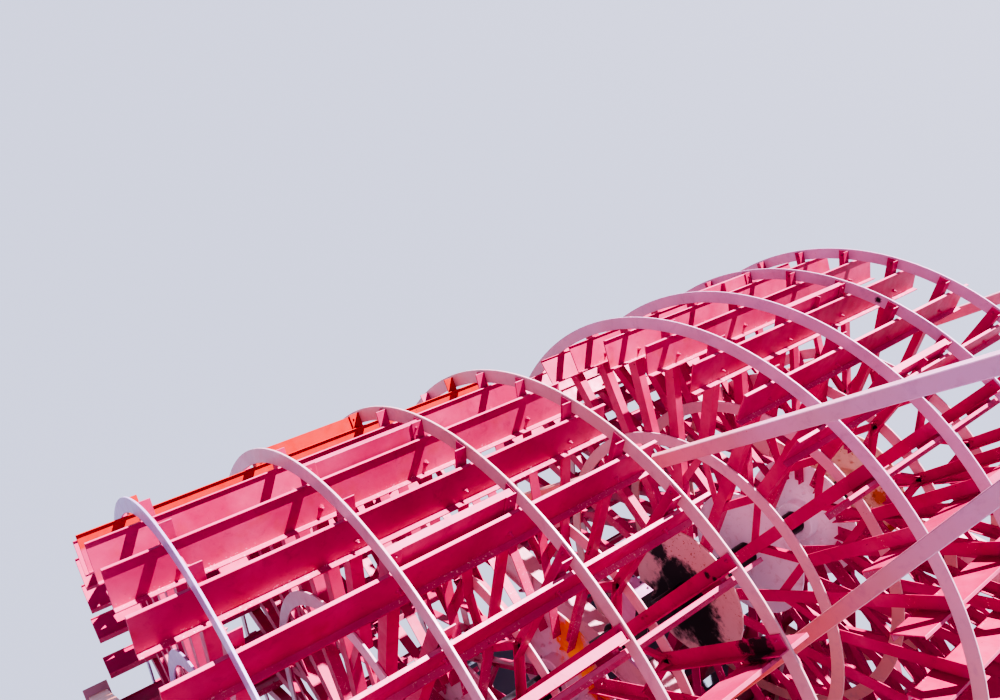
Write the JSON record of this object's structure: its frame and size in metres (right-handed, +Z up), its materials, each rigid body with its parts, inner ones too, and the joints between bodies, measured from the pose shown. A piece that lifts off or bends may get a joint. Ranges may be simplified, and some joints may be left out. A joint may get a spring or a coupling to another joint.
{
  "type": "stern paddle wheel",
  "caption": "Stern paddle wheel on a long shaft, with ring-braced arms, flanged buckets, bearings and strut-braced girders.",
  "frame": {"origin": "on the shaft's axis, midway between the wheel's two halves", "axes": "+X forward to the vessel, +Y along the shaft to port, +Z up"},
  "size_m": [5.873, 8.36, 7.506],
  "materials": {
    "white_paint": "satin, weathered",
    "red_paint": "satin, weathered",
    "shaft_steel": "turned, greasy",
    "greasy_iron": "dark, greasy",
    "frame_paint": "satin"
  },
  "bodies": {
    "vessel_frame": {"starboard_bearing": "greasy_iron", "starboard_girder": "frame_paint", "starboard_struts": "frame_paint", "centre_bearing": "greasy_iron", "centre_girder": "frame_paint", "centre_struts": "frame_paint", "port_bearing": "greasy_iron", "port_girder": "frame_paint", "port_struts": "frame_paint"},
    "wheel": {"outer_ring_starboard_1": "white_paint", "inner_ring_starboard_1": "white_paint", "hub_starboard_1": "white_paint", "arm_frame_starboard_1": "red_paint", "outer_ring_starboard_2": "white_paint", "inner_ring_starboard_2": "white_paint", "hub_starboard_2": "white_paint", "arm_frame_starboard_2": "red_paint", "outer_ring_starboard_3": "white_paint", "inner_ring_starboard_3": "white_paint", "hub_starboard_3": "white_paint", "arm_frame_starboard_3": "red_paint", "outer_ring_starboard_4": "white_paint", "inner_ring_starboard_4": "white_paint", "hub_starboard_4": "white_paint", "arm_frame_starboard_4": "red_paint", "outer_ring_port_1": "white_paint", "inner_ring_port_1": "white_paint", "hub_port_1": "white_paint", "arm_frame_port_1": "red_paint", "outer_ring_port_2": "white_paint", "inner_ring_port_2": "white_paint", "hub_port_2": "white_paint", "arm_frame_port_2": "red_paint", "outer_ring_port_3": "white_paint", "inner_ring_port_3": "white_paint", "hub_port_3": "white_paint", "arm_frame_port_3": "red_paint", "outer_ring_port_4": "white_paint", "inner_ring_port_4": "white_paint", "hub_port_4": "white_paint", "arm_frame_port_4": "red_paint", "shaft": "shaft_steel"}
  },
  "joints": [
    {"name": "wheel_turn", "type": "hinge", "parent": "vessel_frame", "child": "wheel", "pos_m": [0, 0, 0], "axis": [0, 1, 0], "continuous": true}
  ]
}
